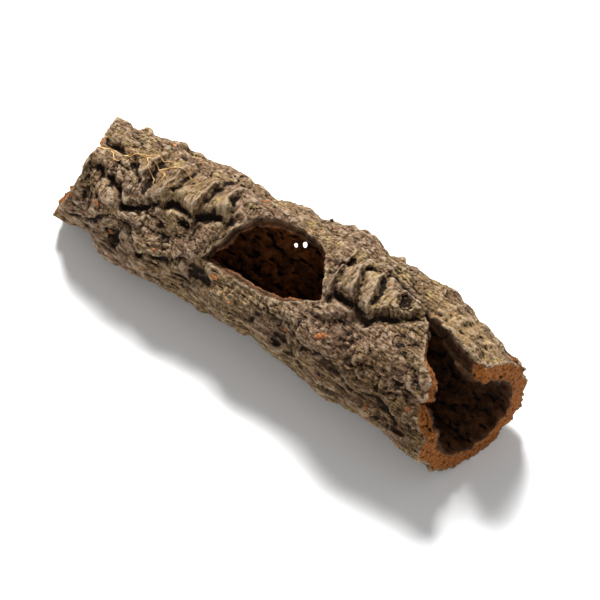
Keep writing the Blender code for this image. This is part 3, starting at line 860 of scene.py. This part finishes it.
class Reading:
    """A number or colour on its way through a material, for use in sums."""

    def __init__(self, paint, socket):
        self.paint, self.socket = paint, socket

    def _math(self, operation, first, second):
        return self.paint.add("ShaderNodeMath", {"operation": operation}, {0: first, 1: second})

    def __add__(self, other):
        return self._math("ADD", self, other)

    def __sub__(self, other):
        return self._math("SUBTRACT", self, other)

    def __mul__(self, other):
        return self._math("MULTIPLY", self, other)

    def __radd__(self, other):
        return self._math("ADD", other, self)

    def __rsub__(self, other):
        return self._math("SUBTRACT", other, self)

    def __rmul__(self, other):
        return self._math("MULTIPLY", other, self)

    def size(self):
        """Its distance from 0."""
        return self._math("ABSOLUTE", self, 0)

    def smaller(self, other):
        """The smaller of this and another reading."""
        return self._math("MINIMUM", self, other)

    def between(self, low, high):
        """0 below low, 1 above high, and a smooth rise between them."""
        settings = {"interpolation_type": "SMOOTHSTEP"}
        inputs = {"Value": self, "From Min": low, "From Max": high}
        return self.paint.add("ShaderNodeMapRange", settings, inputs)


class Paint:
    """A material that is written as sums of readings."""

    def __init__(self, name):
        self.material = bpy.data.materials.new(name)
        self.material.use_nodes = True
        self.nodes = self.material.node_tree.nodes
        self.links = self.material.node_tree.links
        self.shader = self.nodes["Principled BSDF"]

    def add(self, kind, settings=None, inputs=None, output=0):
        """Adds a node: its settings first, then the values or readings of its sockets."""
        node = self.nodes.new(kind)
        for name, value in (settings or {}).items():
            setattr(node, name, value)
        for key, value in (inputs or {}).items():
            if isinstance(value, Reading):
                self.links.new(value.socket, node.inputs[key])
            else:
                node.inputs[key].default_value = value
        return Reading(self, node.outputs[output])

    def place(self, stretch=(1, 1, 1)):
        """Object coordinates in millimetres, divided by a stretch along each axis."""
        where = self.add("ShaderNodeTexCoord", output="Object")
        scale = tuple(1 / MM / size for size in stretch)
        return self.add("ShaderNodeVectorMath", {"operation": "MULTIPLY"}, {0: where, 1: scale})

    def noise(self, where, scale, detail, roughness=0.55):
        """Noise from 0 to 1, with this many bumps to a millimetre."""
        inputs = {"Vector": where, "Scale": scale, "Detail": detail, "Roughness": roughness}
        return self.add("ShaderNodeTexNoise", {}, inputs)

    def attribute(self, name):
        """What measure_skin stored under this name."""
        return self.add("ShaderNodeAttribute", {"attribute_name": name}, output="Fac")

    def mix(self, factor, first, second, blend="MIX"):
        """Between two colours, each a reading or three numbers."""
        settings = {"data_type": "RGBA", "blend_type": blend, "clamp_factor": True}
        first, second = (
            colour if isinstance(colour, Reading) else (*colour, 1.0) for colour in (first, second)
        )
        return self.add("ShaderNodeMix", settings, {0: factor, 6: first, 7: second}, output=2)

    def finish(self, colour, roughness, height, strength, distance):
        """Joins the colour and the bumps, their distance in millimetres, to the shader."""
        inputs = {"Height": height, "Strength": strength, "Distance": distance * MM}
        bump = self.add("ShaderNodeBump", {}, inputs)
        self.links.new(colour.socket, self.shader.inputs["Base Color"])
        self.links.new(bump.socket, self.shader.inputs["Normal"])
        self.shader.inputs["Specular IOR Level"].default_value = CORK_SHINE
        self.shader.inputs["Roughness"].default_value = roughness
        return self.material


def inside_colour(paint, medium, fibre):
    """Dark crumbling cork."""
    inside = paint.mix(medium.between(0.4, 0.65), (0.038, 0.014, 0.004), (0.12, 0.044, 0.013))
    return paint.mix(fibre.between(0.55, 0.75) * 0.6, inside, (0.17, 0.06, 0.018))


def hollow_colour(paint, inside, fine):
    """The hollow's wall: painted light where the knot hole lets light in, painted shade between crumbs."""
    lit = paint.mix(1.0, inside, (3.6, 3.2, 2.8), "MULTIPLY")
    # painted light: the inside colour brightened under the knot hole
    crumbs = paint.mix(paint.attribute("knot_hole_painted_light"), inside, lit)
    # painted shade: near black in the fine hollows between the crumbs
    return paint.mix(fine.between(0.0, 0.7), crumbs, (0.006, 0.003, 0.001))


def fresh_cork_colour(paint, plain, small, speck, fine):
    """The orange cork of a sawn face, with brown patches, dark pits and painted shade in its hollows."""
    cork = paint.mix(speck.between(0.35, 0.65), (0.25, 0.070, 0.011), (0.56, 0.205, 0.050))
    cork = paint.mix(small.between(0.55, 0.7) * 0.5, cork, (0.17, 0.05, 0.011))
    pits = paint.noise(plain, 0.55, 2, 0.5)
    cork = paint.mix(pits.between(0.62, 0.68) * 0.8, cork, (0.05, 0.015, 0.004))
    # painted shade: darker in the fine hollows of the sawn face
    return paint.mix(fine.between(0.1, 0.6), cork, (0.04, 0.012, 0.003))


def broken_edge_colour(paint, medium, inside, fine):
    """The edge of an opening, brown at the bark, as dark as the inside further in, with painted shade in
    hollows.
    """
    rim = paint.mix(medium.between(0.4, 0.6), (0.11, 0.060, 0.033), (0.23, 0.135, 0.075))
    rim = paint.mix(paint.attribute("under_the_edge").between(0.15, 0.5), rim, inside)
    # painted shade: darker in the fine hollows of the edge
    return paint.mix(fine.between(0.1, 0.8), rim, (0.02, 0.011, 0.007))


def bark_paint():
    """Weathered bark outside, dark crumbling cork in the hollow and orange cork where it was sawn, with
    painted shade in hollows and painted highlights on crests.
    """
    paint = Paint("weathered cork bark")
    plain = paint.place()
    large = paint.noise(plain, 0.035, 4)
    medium = paint.noise(plain, 0.16, 5, 0.6)
    small = paint.noise(plain, 0.45, 4, 0.7)
    speck = paint.noise(plain, 0.8, 4, 0.85)
    fibre = paint.noise(paint.place((6, 1, 1)), 1.1, 3, 0.7)
    thread = paint.noise(paint.place((0.8, 5, 5)), 0.9, 3, 0.7)
    streak = paint.noise(paint.place((16, 1.5, 1.5)), 1.0, 3, 0.65)
    fine, ringed, grooved = (paint.attribute(name) for name in ("fine_hollow", "ringed", "grooved"))

    # Patches of tan and mauve, pale and dark crumbs, yellow lichen and flecks of orange cork.
    tan, mauve, pale = (0.185, 0.117, 0.052), (0.135, 0.080, 0.049), (0.50, 0.365, 0.230)
    bark = paint.mix(large.between(0.38, 0.62), mauve, tan)
    bark = paint.mix(medium.between(0.5, 0.75) * 0.5, bark, pale)
    bark = paint.mix((1 - small.between(0.32, 0.46)) * 0.5, bark, (0.045, 0.026, 0.012))
    bark = paint.mix(small.between(0.52, 0.72) * 0.5, bark, pale)
    lichen = paint.attribute("upper_side") * paint.noise(plain, 0.06, 5, 0.65).between(0.53, 0.66)
    bark = paint.mix(lichen * 0.45, bark, (0.36, 0.27, 0.10))
    flecks = paint.noise(paint.place((4, 2.5, 2.5)), 0.5, 2, 0.5)
    bark = paint.mix(flecks.between(0.71, 0.74) * 0.8, bark, (0.36, 0.13, 0.035))

    # Fine light and dark lines, along the grain or round the tube, and a painted highlight on the crests.
    along = fibre.between(0.35, 0.65) * (0.6 - ringed * 0.45)
    across = thread.between(0.35, 0.65) * (0.15 + ringed * 0.5)
    along = along * (1 - grooved * 0.6) + streak.between(0.38, 0.62) * grooved * 0.5
    grain = (speck.between(0.3, 0.7) * 0.4 + along + across).between(0.15, 0.9)
    bark = paint.mix(1.0, bark, paint.mix(grain, (0.20, 0.17, 0.15), (2.1, 2.06, 1.98)), "MULTIPLY")
    # painted highlight: the crests are lightened
    bark = paint.mix((0 - fine).between(0.15, 0.85) * 0.6, bark, (0.62, 0.475, 0.325))

    # Thin dark cracks, the dusky patch, and painted shade in the hollows.
    long_lines = paint.noise(paint.place((22, 5, 5)), 1.0, 3, 0.6) - 0.5
    cross_lines = paint.noise(paint.place((5, 16, 16)), 1.0, 3, 0.6) - 0.5
    cracks = 1 - long_lines.size().smaller(cross_lines.size()).between(0.004, 0.02)
    cracks = cracks * large.between(0.44, 0.56) * (1 - ringed * 0.7)
    bark = paint.mix(cracks * 0.6, bark, (0.02, 0.011, 0.006))
    duskier = paint.mix(1.0, bark, (0.76, 0.70, 0.66), "MULTIPLY")
    bark = paint.mix(paint.attribute("dusky") * 0.85, bark, duskier)
    broad, sunken = paint.attribute("broad_hollow"), paint.attribute("sunken")
    # painted shade: near black in the fine and broad hollows and where the bark is sunken
    painted_hollow_shade = (fine * 1.2 + broad * 0.9 + sunken * 0.2).between(0.08, 0.95)
    bark = paint.mix(painted_hollow_shade, bark, (0.014, 0.008, 0.004))

    inside = inside_colour(paint, medium, fibre)
    colour = paint.mix(paint.attribute("hollow_wall"), bark, hollow_colour(paint, inside, fine))
    edge = broken_edge_colour(paint, medium, inside, fine)
    colour = paint.mix(paint.attribute("broken_edge"), colour, edge)
    cork = fresh_cork_colour(paint, plain, small, speck, fine)
    colour = paint.mix(paint.attribute("fresh_cork").between(0.25, 0.6), colour, cork)
    height = small * 1.1 + speck * 1.2 + fibre * 0.7 + thread * (0.4 + ringed * 0.9) - cracks * 0.5
    height = height + streak * grooved * 1.2
    return paint.finish(colour, 0.92, height, 1.0, 1.6)


def speckled_paint(name, grain, dark, light, roughness, bumps):
    """A matte material with specks of two colours. grain is the noise's scale, detail and roughness."""
    paint = Paint(name)
    speck = paint.noise(paint.place(), *grain)
    colour = paint.mix(speck.between(0.35, 0.65), dark, light)
    return paint.finish(colour, roughness, speck, bumps, bumps)


def rootlet_paint():
    dark, light = (0.42, 0.22, 0.07), (0.68, 0.45, 0.20)
    return speckled_paint("dry rootlets", (0.4, 2, 0.5), dark, light, 0.8, 0.2)


def chip_paint():
    dark, light = (0.15, 0.048, 0.015), (0.38, 0.15, 0.058)
    return speckled_paint("orange cork chips", (1.0, 3, 0.7), dark, light, 0.9, 0.8)


def twig_paint():
    dark, light = (0.012, 0.008, 0.006), (0.06, 0.035, 0.022)
    return speckled_paint("dark twig stub", (1.0, 3, 0.7), dark, light, 0.9, 0.6)


def floor_paint():
    paint = Paint("white floor")
    paint.shader.inputs["Base Color"].default_value = FLOOR_COLOUR
    paint.shader.inputs["Roughness"].default_value = FLOOR_ROUGHNESS
    return paint.material


def lay_floor():
    bpy.ops.object.select_all(action="DESELECT")
    bpy.ops.mesh.primitive_plane_add(size=FLOOR_SIZE, location=(0, 0, 0))
    floor = bpy.context.object
    floor.name = "floor"
    floor.data.materials.append(floor_paint())


def camera_axes():
    """The camera's right, its up and the way back from the tube towards it."""
    bearing, rise_angle = np.radians((CAMERA_BEARING, CAMERA_RISE))
    level = np.array((np.sin(bearing), -np.cos(bearing), 0.0))
    back = level * np.cos(rise_angle) + np.array((0, 0, np.sin(rise_angle)))
    right = np.array((np.cos(bearing), np.sin(bearing), 0.0))
    return right, np.cross(back, right), back


def set_camera():
    """The camera stands where the focus falls on its place in the image."""
    right, up, back = camera_axes()
    off_right, off_up = FOCUS_IN_IMAGE[0] - IMAGE_SIZE / 2, IMAGE_SIZE / 2 - FOCUS_IN_IMAGE[1]
    at_focus = CAMERA_DISTANCE / FOCAL_PIXELS
    stand = FOCUS + CAMERA_DISTANCE * back - (off_right * right + off_up * up) * at_focus
    data = bpy.data.cameras.new("camera")
    data.sensor_width, data.lens = SENSOR, SENSOR * FOCAL_PIXELS / IMAGE_SIZE
    data.clip_start, data.clip_end = NEAREST_SEEN, FARTHEST_SEEN
    camera = bpy.data.objects.new("camera", data)
    bpy.context.scene.collection.objects.link(camera)
    turn = Matrix(np.stack([right, up, back], 1).tolist()).to_4x4()
    camera.matrix_world = Matrix.Translation(stand * MM) @ turn
    bpy.context.scene.camera = camera


def add_lamp(name, towards, distance, size, watts):
    """A square soft lamp that shines at the tube from a direction."""
    direction = Vector(towards).normalized()
    data = bpy.data.lights.new(name, "AREA")
    data.energy, data.size = watts, size
    lamp = bpy.data.objects.new(name, data)
    lamp.location = direction * distance
    lamp.rotation_euler = direction.to_track_quat("Z", "Y").to_euler()
    bpy.context.scene.collection.objects.link(lamp)


def set_light():
    for lamp in LAMPS:
        add_lamp(*lamp)
    world = bpy.data.worlds.new("white room")
    world.use_nodes = True
    background = world.node_tree.nodes["Background"]
    background.inputs["Color"].default_value = (1, 1, 1, 1)
    background.inputs["Strength"].default_value = ROOM_LIGHT
    bpy.context.scene.world = world
    bpy.context.scene.view_settings.view_transform = "Standard"


bark = make_bark()
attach(bark, "root")
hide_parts(NODE)
dress_bark(bark)
lay_floor()
set_camera()
set_light()
